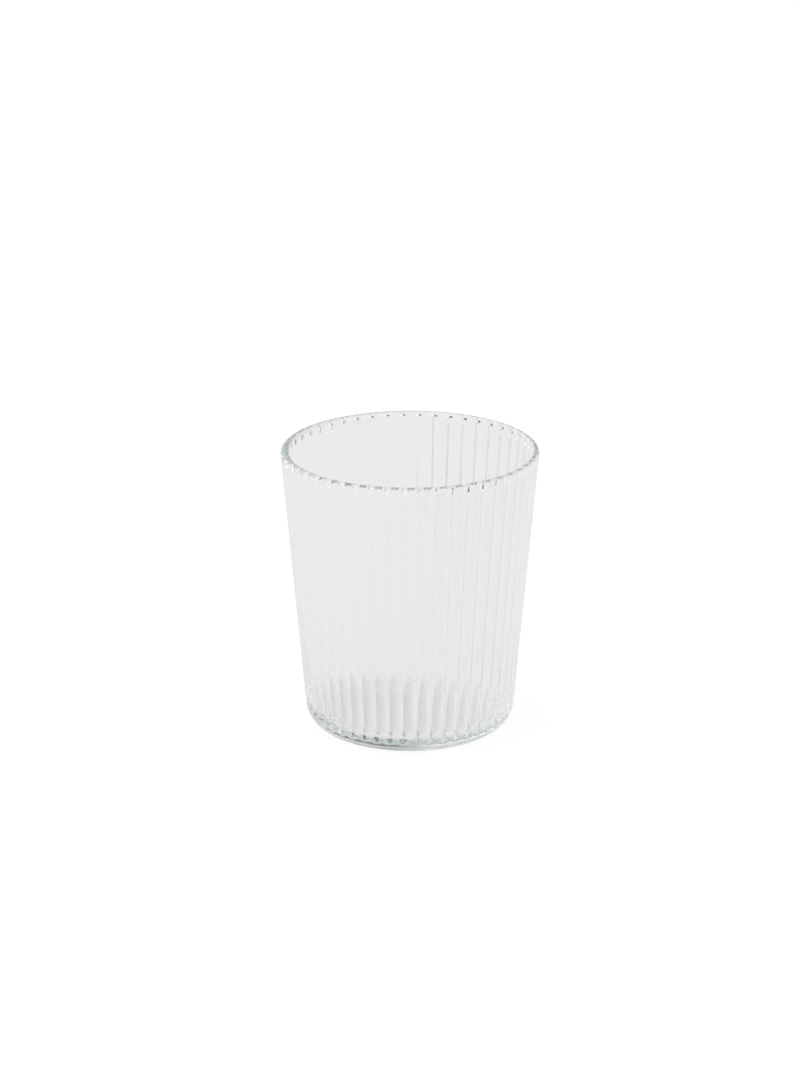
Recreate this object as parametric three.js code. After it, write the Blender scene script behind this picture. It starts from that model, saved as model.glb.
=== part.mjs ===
// A reeded water tumbler, pressed in one piece of clear glass.
// Millimetres, +Z up. The origin is on the axis, in the plane that the foot stands on.
// The wall has upright reeds on both sides, with their grooves back to back. The body is a turned
// shape whose meridian changes with the angle: at a reed's crest the meridian is the plain tapered
// wall, and towards a groove the wall gets thinner from both sides. A groove starts at a shoulder
// under the mouth. Outside it runs out in the heel's round, and inside it fades over the fillet.

import * as THREE from 'three';

const degree = Math.PI / 180;

// Driving dimensions: the body
const rimDiameter = 88;
const height = 99;
const lipRadius = 1.4; // the mouth is a full round, so the wall starts twice as thick
const outerTaper = 5.2 * degree;
const innerTaper = 5.5 * degree; // a little more, so the wall thickens downwards
const heelRadius = 9;
const baseThickness = 5.5;
const floorFillet = 5; // between the inner wall and the floor
const footWidth = 5; // flat ring that the glass stands on
const puntDepth = 0.2; // very shallow dome inside that ring

// Driving dimensions: the reeds, which stand side by side all round the wall
const reedCount = 48;
const outerReedEdge = 36 * degree; // slope of a reed's flank where it meets its neighbour
const innerReedEdge = 30 * degree;
const outerBand = 0.15; // plain wall between the lip's round and the tops of the grooves
const innerBand = 1.05; // the grooves inside start a little lower
const shoulderHeight = 0.4; // a groove reaches its full depth over this height

// Facets
const facetsPerReed = 4;
const lipSteps = 4; // on each side of the lip's top
const heelSteps = 5;
const filletSteps = 4;
const puntSteps = 2;

// A point in the meridian plane: x is the radius and y is the height.
function point(radius, z) {
  return new THREE.Vector2(radius, z);
}

// Points on an arc from one angle to another, both ends included.
function arc(centre, radius, from, to, steps) {
  const clockwise = from > to;
  const curve = new THREE.EllipseCurve(centre.x, centre.y, radius, radius, from, to, clockwise);
  return curve.getPoints(steps);
}

// The round mouth, with the outer and inner walls tangent to it
const lipCentre = point(rimDiameter / 2 - lipRadius, height - lipRadius);
const outerTop = arc(lipCentre, lipRadius, -outerTaper, 0, 1)[0];
const innerTop = arc(lipCentre, lipRadius, Math.PI - innerTaper, Math.PI, 1)[0];

// Radius of the outer wall over the crests at a height
const crestRadiusAtFoot = outerTop.x - outerTop.y * Math.tan(outerTaper);
function crestRadius(z) {
  return crestRadiusAtFoot + z * Math.tan(outerTaper);
}

// Radius of the inner wall over the crests at a height
function boreRadius(z) {
  return innerTop.x - (innerTop.y - z) * Math.tan(innerTaper);
}

// The heel's round is tangent to the outer wall over the crests and to the standing plane.
const heelOffset = heelRadius / Math.cos(outerTaper);
const heelCentre = point(crestRadius(heelRadius) - heelOffset, heelRadius);

// The fillet inside is tangent to the inner wall and to the floor.
const filletHeight = baseThickness + floorFillet;
const filletOffset = floorFillet / Math.cos(innerTaper);
const filletCentre = point(boreRadius(filletHeight) - filletOffset, filletHeight);

// A reed is a circular arc across its pitch. The place across it runs from 0 at the crest to 1 at
// the groove, and the result is the groove's depth there as a share of the crest's radius.
function reedDepth(place, edge) {
  const halfPitch = Math.PI / reedCount;
  const arcRadius = 1 / Math.sin(edge);
  const drop = arcRadius - Math.sqrt(arcRadius ** 2 - place ** 2);
  return halfPitch * drop;
}

// Height at which the wall, drawn in to a share of its radius, runs into the heel's round
function heelJoinHeight(share) {
  const slope = share * Math.tan(outerTaper);
  const reach = share * crestRadiusAtFoot - heelCentre.x;
  const square = slope ** 2 + 1;
  const half = heelRadius - slope * reach;
  const underRoot = Math.max(half ** 2 - square * reach ** 2, 0);
  return (half - Math.sqrt(underRoot)) / square;
}

// The underside, from the axis over the punt's dome to the foot ring's inner edge
function puntProfile() {
  const edge = heelCentre.x - footWidth;
  const domeRadius = (edge ** 2 + puntDepth ** 2) / (2 * puntDepth);
  const domeCentre = point(0, puntDepth - domeRadius);
  const edgeAngle = Math.acos(edge / domeRadius);
  const dome = arc(domeCentre, domeRadius, Math.PI / 2, edgeAngle, puntSteps);
  dome[0].x = 0;
  return dome;
}

// The heel, from the foot ring's outer edge up to where this meridian's wall begins
function heelProfile(share) {
  const joinHeight = heelJoinHeight(share);
  const joinRadius = share * crestRadius(joinHeight);
  const joinAngle = Math.atan2(joinHeight - heelRadius, joinRadius - heelCentre.x);
  return arc(heelCentre, heelRadius, -Math.PI / 2, joinAngle, heelSteps);
}

// The outer wall's top end: the groove's shoulder runs out to the full radius under the lip.
function outerShoulder(share) {
  const top = outerTop.y - outerBand;
  const bottom = top - shoulderHeight;
  return [point(share * crestRadius(bottom), bottom), point(crestRadius(top), top)];
}

// The same inside, going down
function innerShoulder(share) {
  const top = innerTop.y - innerBand;
  const bottom = top - shoulderHeight;
  return [point(boreRadius(top), top), point(share * boreRadius(bottom), bottom)];
}

// The mouth's full round, from the outer wall over its top to the inner wall
function lipProfile() {
  const outside = arc(lipCentre, lipRadius, -outerTaper, Math.PI / 2, lipSteps);
  const inside = arc(lipCentre, lipRadius, Math.PI / 2, Math.PI - innerTaper, lipSteps);
  return [...outside, ...inside.slice(1)];
}

// The inside, from the inner wall's foot over the fillet, where the groove fades, to the middle of
// the floor
function floorProfile(share) {
  const fillet = arc(filletCentre, floorFillet, -innerTaper, -Math.PI / 2, filletSteps);
  fillet.forEach((spot, step) => {
    const fade = Math.cos((step / filletSteps) * (Math.PI / 2));
    spot.x *= 1 + (share - 1) * fade;
  });
  return [...fillet, point(0, baseThickness)];
}

// One meridian, from the axis underneath, up the outside, over the lip and down the inside
function meridian(place) {
  const outerShare = 1 - reedDepth(place, outerReedEdge);
  const innerShare = 1 + reedDepth(place, innerReedEdge);
  return [
    ...puntProfile(),
    ...heelProfile(outerShare),
    ...outerShoulder(outerShare),
    ...lipProfile(),
    ...innerShoulder(innerShare),
    ...floorProfile(innerShare),
  ];
}

// Lathe the crest's meridian, then move every column of points to the meridian of its own place
// across a reed. A crest faces -Y.
function reededBody() {
  const columns = reedCount * facetsPerReed;
  const crest = meridian(0);
  const geometry = new THREE.LatheGeometry(crest, columns);
  const position = geometry.getAttribute('position');
  for (let column = 0; column <= columns; column += 1) {
    const step = column % facetsPerReed;
    const place = (2 * Math.min(step, facetsPerReed - step)) / facetsPerReed;
    const angle = ((column % columns) * 2 * Math.PI) / columns;
    meridian(place).forEach((spot, row) => {
      const x = spot.x * Math.sin(angle);
      const y = -spot.x * Math.cos(angle);
      position.setXYZ(column * crest.length + row, x, y, spot.y);
    });
  }
  geometry.computeVertexNormals();
  return geometry;
}

const glass = new THREE.MeshStandardMaterial({
  color: 0xe6eae7,
  roughness: 0.03,
  metalness: 0,
  transparent: true,
  opacity: 0.35,
});

const tumbler = new THREE.Mesh(reededBody(), glass);
tumbler.name = 'tumbler';

const waterGlass = new THREE.Group();
waterGlass.add(tumbler);

export default waterGlass;
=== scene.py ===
# %% [markdown]
# A reeded water glass
#
# The object is a plain tumbler of clear glass with upright reeds all round its wall, inside and
# outside. It is one piece: nothing on it is joined, printed or fitted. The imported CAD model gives
# its place and its outer size, and this lesson builds the same body with finer curves, gives it a
# glass finish, and sets it on a pale floor under soft light.

import math

import bpy
import numpy as np
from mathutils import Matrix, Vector


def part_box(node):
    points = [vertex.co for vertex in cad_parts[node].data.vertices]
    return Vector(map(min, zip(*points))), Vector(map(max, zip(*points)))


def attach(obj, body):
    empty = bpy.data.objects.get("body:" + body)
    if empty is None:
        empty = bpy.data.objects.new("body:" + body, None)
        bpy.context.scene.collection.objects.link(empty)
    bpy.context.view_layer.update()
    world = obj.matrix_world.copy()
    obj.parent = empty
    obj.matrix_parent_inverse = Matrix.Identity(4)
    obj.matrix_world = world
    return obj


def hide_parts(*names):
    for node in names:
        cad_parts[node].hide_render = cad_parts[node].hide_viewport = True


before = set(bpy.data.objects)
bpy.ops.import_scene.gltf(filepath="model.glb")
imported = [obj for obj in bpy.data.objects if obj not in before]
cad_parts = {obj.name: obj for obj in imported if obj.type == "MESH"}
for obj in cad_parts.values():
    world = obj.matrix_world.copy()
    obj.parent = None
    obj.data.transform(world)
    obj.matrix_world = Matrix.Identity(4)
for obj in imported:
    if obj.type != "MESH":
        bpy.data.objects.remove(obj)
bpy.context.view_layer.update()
lowest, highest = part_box("tumbler")
rim_radius = highest.x
height = highest.z
print("rim radius", round(rim_radius, 4), "standing from", round(lowest.z, 4), "to", round(height, 4))

# %% [markdown]
# Sizes
#
# The rim and the height come from the frame, so the dressed glass can't drift away from the CAD
# model. The rest are the same few sizes that the CAD model is drawn from, here in metres. The
# wall is a little thicker near the base, as pressed glass is, because the plunger that shapes the
# inside has to draw out.

# %% Sizes of the body
mm = 0.001
lip_radius = 1.4 * mm
outer_taper = math.radians(5.2)
inner_taper = math.radians(5.5)
heel_radius = 9 * mm
base_thickness = 5.5 * mm
floor_fillet = 5 * mm
foot_width = 5 * mm
punt_depth = 0.2 * mm

lip_centre = (rim_radius - lip_radius, height - lip_radius)
outer_top = (
    lip_centre[0] + lip_radius * math.cos(outer_taper),
    lip_centre[1] - lip_radius * math.sin(outer_taper),
)
inner_top = (
    lip_centre[0] - lip_radius * math.cos(inner_taper),
    lip_centre[1] + lip_radius * math.sin(inner_taper),
)


def crest_radius(z):
    """Radius of the outer wall over the reeds' crests."""
    return outer_top[0] - (outer_top[1] - z) * math.tan(outer_taper)


def bore_radius(z):
    """Radius of the inner wall over the reeds' crests."""
    return inner_top[0] - (inner_top[1] - z) * math.tan(inner_taper)


heel_centre = (crest_radius(heel_radius) - heel_radius / math.cos(outer_taper), heel_radius)
fillet_height = base_thickness + floor_fillet
fillet_centre = (bore_radius(fillet_height) - floor_fillet / math.cos(inner_taper), fillet_height)
print("foot ring from", round(heel_centre[0] - foot_width, 4), "to", round(heel_centre[0], 4))

# %% [markdown]
# The reeds
#
# Each reed is a shallow round rib, and two reeds meet in a narrow groove. In a drawing across the
# wall a reed is a circular arc, and a small fillet softens the groove, as molten glass does. A
# place across the reed runs from 0 at its crest to 1 in the groove. The drop there and the fillet's
# radius are measured in half pitches, so one formula serves the outside, the inside and every height.

# %% Section of a reed
reed_count = 48
outer_edge = math.radians(36)  # slope of a reed's flank where it meets its neighbour
inner_edge = math.radians(30)
groove_round = 0.08
half_pitch = math.pi / reed_count


def reed_drop(place, edge):
    """Fall of the surface at a place across a reed whose flank reaches the slope called edge."""
    crest_round = 1 / math.sin(edge)
    tangent_place = crest_round / (crest_round + groove_round)
    if place <= tangent_place:
        return crest_round - math.sqrt(crest_round**2 - place**2)
    groove_centre = crest_round - math.sqrt((crest_round + groove_round) ** 2 - 1)
    return groove_centre + math.sqrt(groove_round**2 - (1 - place) ** 2)


outer_groove = half_pitch * reed_drop(1, outer_edge) * outer_top[0]
inner_groove = half_pitch * reed_drop(1, inner_edge) * inner_top[0]
print("groove depth outside", round(outer_groove / mm, 2), "and inside", round(inner_groove / mm, 2), "mm")

# %% [markdown]
# One meridian
#
# Cut the glass through its axis and the cut edge is a meridian: under the base, round the heel, up
# the wall, over the lip, down the inside and across the floor. Only the wall changes from crest to
# groove. Outside, a groove runs straight up into the lip's round. Inside, it ends on that round in a
# facet, a short steep slope that looks like a small hanging tooth from the front. At the bottom a
# groove fades, outside over the top of the heel and inside just above the floor. A turned profile
# (the Screw modifier) can't do that, because all its meridians are alike, so the meridian is a
# function of the place across the reed.
#
# The rows of points on the two walls crowd towards the top. Shading blends from row to row, so close
# rows keep the outer wall's edge crisp, and the bore's wider ones soften the facet, as polishing does.

# %% Points of a meridian
facet_angle = math.radians(151)  # where a facet starts on the lip's round; 90 degrees is its top
facet_height = 0.5 * mm
heel_fade = math.radians(30)  # the groove is gone this far round the heel
floor_fade = 0.2 * mm
steps = {
    "punt": 6,
    "heel": 14,
    "wall": 14,
    "lip": 18,
    "facet": 4,
    "bore": 10,
    "fillet": 14,
    "floor": 4,
}
crowding = {"wall": 2.0, "bore": 1.4}  # a power: 1 spaces the rows evenly


def arc(centre, radius, start, end, count):
    """Points on an arc as rows of radius and height, both ends included."""
    turn = np.linspace(start, end, count + 1)
    return np.column_stack((centre[0] + radius * np.cos(turn), centre[1] + radius * np.sin(turn)))


def underside():
    """From the axis over the punt's shallow dome to the foot ring."""
    edge = heel_centre[0] - foot_width
    dome_radius = (edge**2 + punt_depth**2) / (2 * punt_depth)
    dome = arc(
        (0, punt_depth - dome_radius),
        dome_radius,
        math.pi / 2,
        math.acos(edge / dome_radius),
        steps["punt"],
    )
    dome[0, 0] = 0
    return dome


def faded(share, amount):
    """A share of the radius whose groove is faded: all of it at amount 0, none of it at 1."""
    return 1 + (share - 1) * np.cos(np.clip(amount, 0, 1) * math.pi / 2)


def heel(share):
    """Round the heel from the foot ring up to the wall, with the groove fading at its top."""
    turn = np.linspace(-math.pi / 2, -outer_taper, steps["heel"] + 1)
    points = arc(heel_centre, heel_radius, turn[0], turn[-1], steps["heel"])
    points[:, 0] *= faded(share, (-outer_taper - turn) / (heel_fade - outer_taper))
    return points


def crowded_rows(part):
    """Shares of a wall's height from its top down, crowded at the top."""
    return np.linspace(0, 1, steps[part] + 1) ** crowding[part]


def on_lip(start, slope):
    """Angle and height where a wall, given by its radius at height 0 and its slope, meets the lip."""
    reach = start - lip_centre[0]
    square = slope**2 + 1
    half = lip_centre[1] - slope * reach
    under_root = half**2 - square * (lip_centre[1] ** 2 + reach**2 - lip_radius**2)
    z = (half + math.sqrt(max(under_root, 0))) / square
    return math.atan2(z - lip_centre[1], start + slope * z - lip_centre[0]), z


def bore_start(share):
    """Angle on the lip where its round ends inside, and the height where the bore begins."""
    start = share * bore_radius(0)
    slope = share * math.tan(inner_taper)
    facet_slope = inner_groove / facet_height
    facet_top = arc(lip_centre, lip_radius, facet_angle, facet_angle, 1)[0]
    foot = (facet_top[0] + facet_top[1] * facet_slope - start) / (slope + facet_slope)
    if foot < facet_top[1]:
        return facet_angle, foot
    return on_lip(start, slope)


def outer_wall(share):
    """Up the outside from the heel to just below the lip's round, and the angle where they meet."""
    meeting_angle, top = on_lip(share * crest_radius(0), share * math.tan(outer_taper))
    heel_top = heel_radius - heel_radius * math.sin(outer_taper)
    wall_z = top - (top - heel_top) * crowded_rows("wall")[::-1]
    return np.column_stack((share * crest_radius(wall_z), wall_z))[1:-1], meeting_angle


def inner_wall(share, lip_end, foot):
    """From the lip's end down the facet and the straight bore."""
    facet = np.linspace(lip_end, (share * bore_radius(foot), foot), steps["facet"] + 1)[1:]
    fillet_top = fillet_centre[1] - floor_fillet * math.sin(inner_taper)
    bore_z = foot - (foot - fillet_top) * crowded_rows("bore")[1:]
    bore = np.column_stack((share * bore_radius(bore_z), bore_z))
    return np.concatenate((facet, bore))


def inner_floor(share):
    """Round the fillet, where the groove fades near the floor, and across the floor to the axis."""
    fillet = arc(fillet_centre, floor_fillet, -inner_taper, -math.pi / 2, steps["fillet"])[1:]
    fillet[:, 0] *= faded(share, 1 - (fillet[:, 1] - base_thickness) / floor_fade)
    floor_r = np.linspace(fillet_centre[0], 0, steps["floor"] + 1)[1:]
    floor = np.column_stack((floor_r, np.full_like(floor_r, base_thickness)))
    return np.concatenate((fillet, floor))


def meridian(place):
    """Rows of radius, height and bore share, from the axis below to the axis inside."""
    outer_share = 1 - half_pitch * reed_drop(abs(place), outer_edge)
    inner_share = 1 + half_pitch * reed_drop(abs(place), inner_edge)
    wall, outer_angle = outer_wall(outer_share)
    inner_angle, foot = bore_start(inner_share)
    lip = arc(lip_centre, lip_radius, outer_angle, inner_angle, steps["lip"])
    outside = np.concatenate((underside(), heel(outer_share), wall))
    inside = np.concatenate((inner_wall(inner_share, lip[-1], foot), inner_floor(inner_share)))
    across_lip = np.clip(np.linspace(-1, 1, len(lip)), 0, 1)
    bore_share = np.concatenate((np.zeros(len(outside)), across_lip, np.ones(len(inside))))
    return np.column_stack((np.concatenate((outside, lip, inside)), bore_share))


print("points on a meridian", len(meridian(0)))

# %% [markdown]
# One slice
#
# The glass repeats every reed, so one slice is enough: a strip from groove to groove, made of
# meridians side by side. The columns crowd in the groove, where the surface turns fastest. The
# strip's two ends are points on the axis. Each point also says how far it belongs to the bore: 0 on
# the outside, 1 on the inside, and in between over the lip's inner half. The next steps use that to
# set the bore a hair off centre.

# %% Mesh of a slice
flank_columns = 5
groove_columns = 3
bore_share_name = "bore_share"


def column_places():
    """Places across a reed, from one groove over the crest to the next."""
    crest_round = 1 / math.sin(outer_edge)
    tangent_place = crest_round / (crest_round + groove_round)
    flank = np.linspace(0, tangent_place, flank_columns + 1)
    groove = np.linspace(tangent_place, 1, groove_columns + 1)[1:]
    half = np.concatenate((flank, groove))
    return np.concatenate((-half[:0:-1], half))


def slice_mesh():
    """A strip of quads from groove to groove, with a crest facing -Y and triangles at the axis."""
    places = column_places()
    profiles = np.array([meridian(place) for place in places])
    turn = places[:, None] * half_pitch
    radius = profiles[:, :, 0]
    points = np.stack((radius * np.sin(turn), -radius * np.cos(turn), profiles[:, :, 1]), axis=2)
    columns, rows = radius.shape
    inner_rows = rows - 2
    ring_points = points[:, 1:-1].reshape(-1, 3)
    below = len(ring_points)
    above = below + 1
    vertices = np.concatenate((ring_points, points[0, :1], points[0, -1:]))
    faces = []
    for column in range(columns - 1):
        here = column * inner_rows
        there = here + inner_rows
        faces.append((below, there, here))
        for row in range(inner_rows - 1):
            faces.append((here + row, there + row, there + row + 1, here + row + 1))
        faces.append((above, here + inner_rows - 1, there + inner_rows - 1))
    mesh = bpy.data.meshes.new("reed_slice")
    mesh.from_pydata(vertices.tolist(), [], faces)
    mesh.update()
    ring_shares = profiles[:, 1:-1, 2].reshape(-1)
    point_shares = np.concatenate((ring_shares, profiles[0, :1, 2], profiles[0, -1:, 2]))
    mesh.attributes.new(bore_share_name, "FLOAT", "POINT").data.foreach_set("value", point_shares)
    return mesh


reed_slice = bpy.data.objects.new("reed_slice", slice_mesh())
bpy.context.scene.collection.objects.link(reed_slice)
print("slice faces", len(reed_slice.data.polygons))

# %% [markdown]
# Clear glass
#
# Soda-lime glass is clear across its thickness and faintly green along it, because of a trace of
# iron: a look through the wall is neutral, and a look along the rim or through the thick base is
# grey-green. A tinted surface would colour everything alike, so the tint is in the volume. The
# surface is fire polished but never perfect. It has a slow waviness from the mould, a very fine
# skin, and a few seeds, which are tiny trapped bubbles. These go in as bump and a little roughness.

# %% Glass finish
glass_tint = (0.79, 0.85, 0.81, 1)
glass_density = 9.0
glass_index = 1.52
wave_size = 14 * mm
seed_spacing = 16 * mm
seed_radius = 0.03  # as a share of the spacing
seed_rise = 0.6  # as a share of the waves' rise
bump_rise = 0.03 * mm
bump_strength = 0.08
haze_starts, haze_full = 0.4, 0.8  # heights of the waves
haze_roughness = 0.006


def add(tree, kind, **settings):
    """A new node with its attributes set."""
    node = tree.nodes.new(kind)
    for name, value in settings.items():
        setattr(node, name, value)
    return node


def clear_glass():
    """Clear glass with a faint green body, mould waviness and a few seeds."""
    material = bpy.data.materials.new("clear_glass")
    material.use_nodes = True
    tree = material.node_tree
    link = tree.links.new
    shader = tree.nodes["Principled BSDF"]
    shader.inputs["Base Color"].default_value = (1, 1, 1, 1)
    shader.inputs["IOR"].default_value = glass_index
    shader.inputs["Transmission Weight"].default_value = 1
    place = add(tree, "ShaderNodeTexCoord")

    waves = add(tree, "ShaderNodeTexNoise")
    waves.inputs["Scale"].default_value = 1 / wave_size
    waves.inputs["Detail"].default_value = 1
    link(place.outputs["Object"], waves.inputs["Vector"])

    cells = add(tree, "ShaderNodeTexVoronoi")
    cells.inputs["Scale"].default_value = 1 / seed_spacing
    link(place.outputs["Object"], cells.inputs["Vector"])
    seed = add(tree, "ShaderNodeMapRange")
    seed.inputs["From Min"].default_value = seed_radius
    seed.inputs["From Max"].default_value = 0
    link(cells.outputs["Distance"], seed.inputs["Value"])

    height_sum = add(tree, "ShaderNodeMath", operation="MULTIPLY_ADD")
    height_sum.inputs[1].default_value = seed_rise
    link(seed.outputs["Result"], height_sum.inputs[0])
    link(waves.outputs["Fac"], height_sum.inputs[2])
    bump = add(tree, "ShaderNodeBump")
    bump.inputs["Strength"].default_value = bump_strength
    bump.inputs["Distance"].default_value = bump_rise
    link(height_sum.outputs[0], bump.inputs["Height"])
    link(bump.outputs["Normal"], shader.inputs["Normal"])

    haze = add(tree, "ShaderNodeMapRange")
    haze.inputs["From Min"].default_value = haze_starts
    haze.inputs["From Max"].default_value = haze_full
    haze.inputs["To Max"].default_value = haze_roughness
    link(waves.outputs["Fac"], haze.inputs["Value"])
    link(haze.outputs["Result"], shader.inputs["Roughness"])

    body_tint = add(tree, "ShaderNodeVolumeAbsorption")
    body_tint.inputs["Color"].default_value = glass_tint
    body_tint.inputs["Density"].default_value = glass_density
    link(body_tint.outputs["Volume"], tree.nodes["Material Output"].inputs["Volume"])
    return material


glass = clear_glass()
print("finish", glass.name, "with", len(glass.node_tree.nodes), "nodes")

# %% [markdown]
# The whole ring
#
# Forty-eight slices make the glass. Copying them by hand, or with an Array modifier and an empty,
# would work too, but a node tree keeps the rule in one place: points as many as the reeds, one
# slice on each, turned by its share of the circle. The slices are then realized and welded at
# their grooves, so the body is one closed skin and light goes through it as through one solid.
# A plunger never meets its mould quite on centre, so the tree moves the bore sideways by a third
# of a millimetre. The outer reeds then face the inner ones squarely in front and behind, and pass
# them at the sides, which is why one half of the glass looks more lined than the other.

# %% Node tree that repeats the slice
weld_distance = 0.002 * mm
bore_offset = (0.35 * mm, 0, 0)


def ring_tree():
    """Geometry Nodes: a slice repeated about Z, welded, smooth shaded and given its material."""
    tree = bpy.data.node_groups.new("reed_ring", "GeometryNodeTree")
    for name, kind in (
        ("Slice", "NodeSocketObject"),
        ("Reeds", "NodeSocketInt"),
        ("Weld distance", "NodeSocketFloat"),
        ("Bore offset", "NodeSocketVector"),
        ("Finish", "NodeSocketMaterial"),
    ):
        tree.interface.new_socket(name, in_out="INPUT", socket_type=kind)
    tree.interface.new_socket("Geometry", in_out="OUTPUT", socket_type="NodeSocketGeometry")
    link = tree.links.new
    given = add(tree, "NodeGroupInput")
    source = add(tree, "GeometryNodeObjectInfo")
    link(given.outputs["Slice"], source.inputs["Object"])
    spots = add(tree, "GeometryNodePoints")
    link(given.outputs["Reeds"], spots.inputs["Count"])

    number = add(tree, "GeometryNodeInputIndex")
    share = add(tree, "ShaderNodeMath", operation="DIVIDE")
    link(number.outputs["Index"], share.inputs[0])
    link(given.outputs["Reeds"], share.inputs[1])
    angle = add(tree, "ShaderNodeMath", operation="MULTIPLY")
    angle.inputs[1].default_value = 2 * math.pi
    link(share.outputs[0], angle.inputs[0])
    turn = add(tree, "FunctionNodeAxisAngleToRotation")
    link(angle.outputs[0], turn.inputs["Angle"])

    ring = add(tree, "GeometryNodeInstanceOnPoints")
    link(spots.outputs["Points"], ring.inputs["Points"])
    link(source.outputs["Geometry"], ring.inputs["Instance"])
    link(turn.outputs["Rotation"], ring.inputs["Rotation"])
    real = add(tree, "GeometryNodeRealizeInstances")
    weld = add(tree, "GeometryNodeMergeByDistance")
    link(ring.outputs["Instances"], real.inputs["Geometry"])
    link(real.outputs["Geometry"], weld.inputs["Geometry"])
    link(given.outputs["Weld distance"], weld.inputs["Distance"])

    bore_share = add(tree, "GeometryNodeInputNamedAttribute", data_type="FLOAT")
    bore_share.inputs["Name"].default_value = bore_share_name
    move = add(tree, "ShaderNodeVectorMath", operation="SCALE")
    link(given.outputs["Bore offset"], move.inputs["Vector"])
    link(bore_share.outputs["Attribute"], move.inputs["Scale"])
    seat = add(tree, "GeometryNodeSetPosition")
    link(weld.outputs["Geometry"], seat.inputs["Geometry"])
    link(move.outputs["Vector"], seat.inputs["Offset"])

    smooth = add(tree, "GeometryNodeSetShadeSmooth")
    finish = add(tree, "GeometryNodeSetMaterial")
    done = add(tree, "NodeGroupOutput")
    link(seat.outputs["Geometry"], smooth.inputs["Geometry"])
    link(smooth.outputs["Geometry"], finish.inputs["Geometry"])
    link(given.outputs["Finish"], finish.inputs["Material"])
    link(finish.outputs["Geometry"], done.inputs["Geometry"])
    return tree


# %% Build the glass
def built_by(tree, values, name):
    """An object whose plain mesh is the result of a node tree with these inputs."""
    host = bpy.data.objects.new(name, bpy.data.meshes.new(name))
    bpy.context.scene.collection.objects.link(host)
    modifier = host.modifiers.new(tree.name, "NODES")
    modifier.node_group = tree
    for socket in tree.interface.items_tree:
        if socket.in_out == "INPUT":
            modifier[socket.identifier] = values[socket.name]
    depsgraph = bpy.context.evaluated_depsgraph_get()
    result = bpy.data.meshes.new_from_object(host.evaluated_get(depsgraph))
    host.modifiers.remove(modifier)
    host.data = result
    return host


ring_values = {
    "Slice": reed_slice,
    "Reeds": reed_count,
    "Weld distance": weld_distance,
    "Bore offset": bore_offset,
    "Finish": glass,
}
tumbler_glass = built_by(ring_tree(), ring_values, "tumbler_glass")
bpy.data.objects.remove(reed_slice)
print("glass vertices", len(tumbler_glass.data.vertices), "faces", len(tumbler_glass.data.polygons))

# %% Place it in the frame
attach(tumbler_glass, "root")
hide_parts("tumbler")

# %% [markdown]
# Floor and light
#
# Clear glass has no colour of its own to show: it shows its surroundings. The floor is mostly a
# soft glow, white to the camera and a light grey to rays that come through or off the glass, so the
# glass stays readable on a white ground. The rest of the floor is plain paint, which takes the
# shadow. The surroundings are a pale room, brighter at the left and in front and darker at the right
# and the back, with one large soft box. The dark part draws the grooves, the rim and the base.

# %% Floor
floor_size = 12.0
floor_drop = 0.02 * mm  # a hair under the foot, so that the two surfaces don't coincide
floor_paint_white = 0.15
floor_tone = (1, 0.982, 0.99, 1)
glow_to_camera = 0.92
glow_to_glass = 0.72


def floor_paint():
    """A glow that the camera and the glass see, over matt paint that takes the shadow."""
    material = bpy.data.materials.new("floor_paint")
    material.use_nodes = True
    tree = material.node_tree
    link = tree.links.new
    shader = tree.nodes["Principled BSDF"]
    shader.inputs["Base Color"].default_value = (floor_paint_white, floor_paint_white, floor_paint_white, 1)
    shader.inputs["Roughness"].default_value = 1
    shader.inputs["Specular IOR Level"].default_value = 0
    shader.inputs["Emission Color"].default_value = floor_tone
    path = add(tree, "ShaderNodeLightPath")
    from_glass = add(tree, "ShaderNodeMath", operation="MAXIMUM")
    link(path.outputs["Is Glossy Ray"], from_glass.inputs[0])
    link(path.outputs["Is Transmission Ray"], from_glass.inputs[1])
    glass_part = add(tree, "ShaderNodeMath", operation="MULTIPLY")
    glass_part.inputs[1].default_value = glow_to_glass
    link(from_glass.outputs[0], glass_part.inputs[0])
    glow = add(tree, "ShaderNodeMath", operation="MULTIPLY_ADD")
    glow.inputs[1].default_value = glow_to_camera
    link(path.outputs["Is Camera Ray"], glow.inputs[0])
    link(glass_part.outputs[0], glow.inputs[2])
    link(glow.outputs[0], shader.inputs["Emission Strength"])
    return material


def floor_plane():
    """A wide flat square just under the standing plane."""
    half = floor_size / 2
    mesh = bpy.data.meshes.new("floor")
    corners = [(x, y, -floor_drop) for x, y in ((-half, -half), (half, -half), (half, half), (-half, half))]
    mesh.from_pydata(corners, [], [(0, 1, 2, 3)])
    mesh.materials.append(floor_paint())
    plane = bpy.data.objects.new("floor", mesh)
    bpy.context.scene.collection.objects.link(plane)
    return plane


floor_plane()
print("floor", floor_size, "m square")

# %% Surroundings
dark_side = Vector((0.85, 0.36, 0.3))
# Brightness against the direction: -1 is away from the dark side, 1 is straight at it.
room_levels = (
    (-1.0, 1.4),
    (-0.3, 1.2),
    (0.0, 1.0),
    (0.34, 0.75),
    (0.6, 0.2),
    (1.0, 0.08),
)


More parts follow.
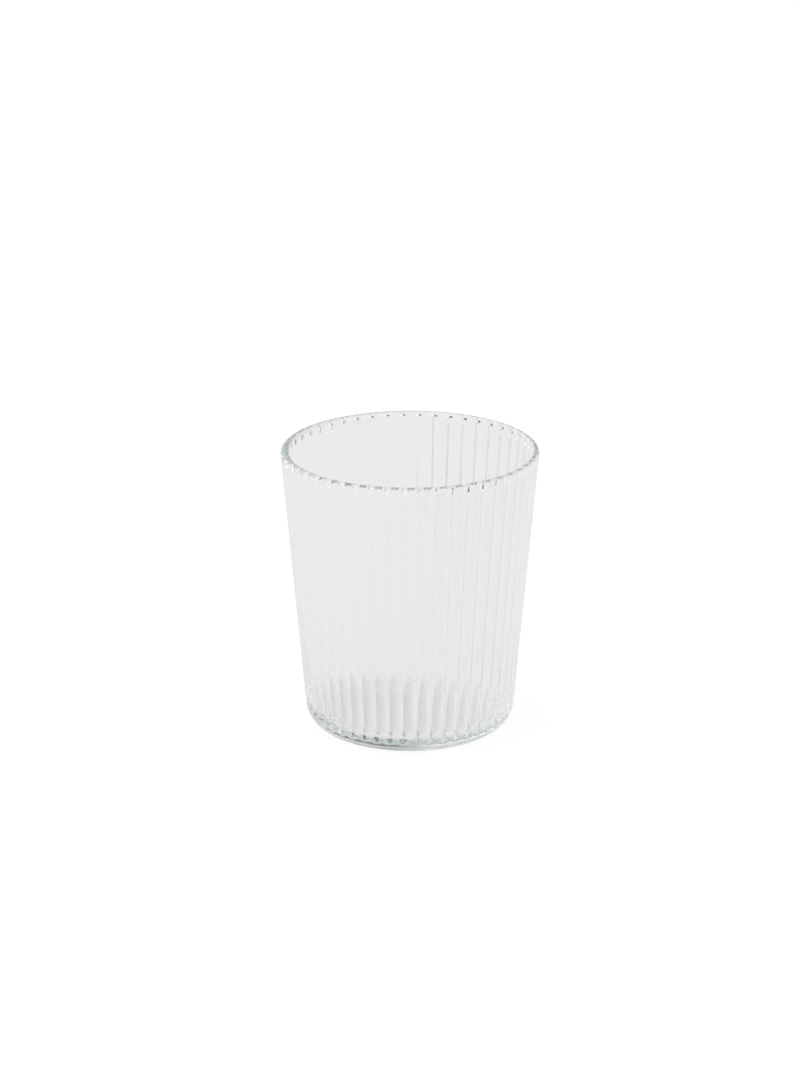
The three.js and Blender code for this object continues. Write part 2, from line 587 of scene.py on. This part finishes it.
def room():
    """A pale room: white to the camera, and to other rays darker towards the right and the back."""
    world = bpy.data.worlds.new("pale_room")
    world.use_nodes = True
    tree = world.node_tree
    link = tree.links.new
    background = tree.nodes["Background"]
    direction = add(tree, "ShaderNodeTexCoord")
    toward_dark = add(tree, "ShaderNodeVectorMath", operation="DOT_PRODUCT")
    toward_dark.inputs[1].default_value = dark_side.normalized()
    link(direction.outputs["Generated"], toward_dark.inputs[0])
    span = add(tree, "ShaderNodeMapRange")
    span.inputs["From Min"].default_value = -1
    link(toward_dark.outputs["Value"], span.inputs["Value"])
    levels = add(tree, "ShaderNodeValToRGB")
    while len(levels.color_ramp.elements) < len(room_levels):
        levels.color_ramp.elements.new(1)
    for stop, (where, level) in zip(levels.color_ramp.elements, room_levels):
        stop.position = (where + 1) / 2
        stop.color = (level, level, level, 1)
    link(span.outputs["Result"], levels.inputs["Fac"])
    path = add(tree, "ShaderNodeLightPath")
    shown = add(tree, "ShaderNodeMix", data_type="RGBA")
    # A Mix node has sockets for every kind of value; these are the ones for colours.
    dimmed, white, result = shown.inputs[6], shown.inputs[7], shown.outputs[2]
    white.default_value = (1, 1, 1, 1)
    link(levels.outputs["Color"], dimmed)
    link(path.outputs["Is Camera Ray"], shown.inputs["Factor"])
    link(result, background.inputs["Color"])
    return world


bpy.context.scene.world = room()
print("room levels from", room_levels[0][1], "to", room_levels[-1][1])

# %% Soft box
box_place = Vector((1.1, -1.0, 0.95))
box_width = 1.2
box_brightness = 2.0


def soft_box():
    """A square lamp aimed at the glass, as bright all over as a surface of that radiance."""
    lamp = bpy.data.lights.new("right_soft_box", "AREA")
    lamp.shape = "SQUARE"
    lamp.size = box_width
    lamp.energy = box_brightness * math.pi * box_width**2
    box = bpy.data.objects.new("right_soft_box", lamp)
    box.location = box_place
    glass_middle = Vector((0, 0, height / 2))
    box.rotation_euler = (glass_middle - box_place).to_track_quat("-Z", "Y").to_euler()
    bpy.context.scene.collection.objects.link(box)
    return box


print("soft box of", round(soft_box().data.energy, 2), "watts")

# %% [markdown]
# Light paths
#
# Light that enters a rim or a thick base bounces along inside it many times before it leaves. With
# the usual dozen bounces those paths end early and leave black lines, so they are followed further.

# %% Light paths
glass_bounces = 64
cycles = bpy.context.scene.cycles
cycles.max_bounces = glass_bounces
cycles.glossy_bounces = glass_bounces
cycles.transmission_bounces = glass_bounces
print("bounces", cycles.max_bounces)

# %% [markdown]
# Camera
#
# The glass is seen from a little above, from far enough away that its sides hardly converge. The
# elevation was found from the rim's ellipse, the distance from how much smaller the base looks,
# and the shift puts the glass where it is in the picture.

# %% Camera
picture_width = 800
picture_height = 1067
camera_distance = 1.7
camera_elevation = math.radians(19.5)
picture_scale = 2918
aim_height = 48 * mm
aim_pixel = (409.9, 590.2)


def photo_camera():
    """A camera in front of the glass, looking down at it, shifted to the picture's framing."""
    lens = bpy.data.cameras.new("camera")
    lens.sensor_fit = "VERTICAL"
    lens.sensor_height = 36
    lens.lens = picture_scale * camera_distance / picture_height * lens.sensor_height
    lens.shift_x = (picture_width / 2 - aim_pixel[0]) / picture_height
    lens.shift_y = (aim_pixel[1] - picture_height / 2) / picture_height
    holder = bpy.data.objects.new("camera", lens)
    outward = Vector((0, -math.cos(camera_elevation), math.sin(camera_elevation)))
    holder.location = Vector((0, 0, aim_height)) + camera_distance * outward
    holder.rotation_euler = (-outward).to_track_quat("-Z", "Y").to_euler()
    bpy.context.scene.collection.objects.link(holder)
    return holder


bpy.context.scene.camera = photo_camera()
bpy.context.scene.view_settings.view_transform = "Standard"
print("lens", round(bpy.context.scene.camera.data.lens, 1), "mm")
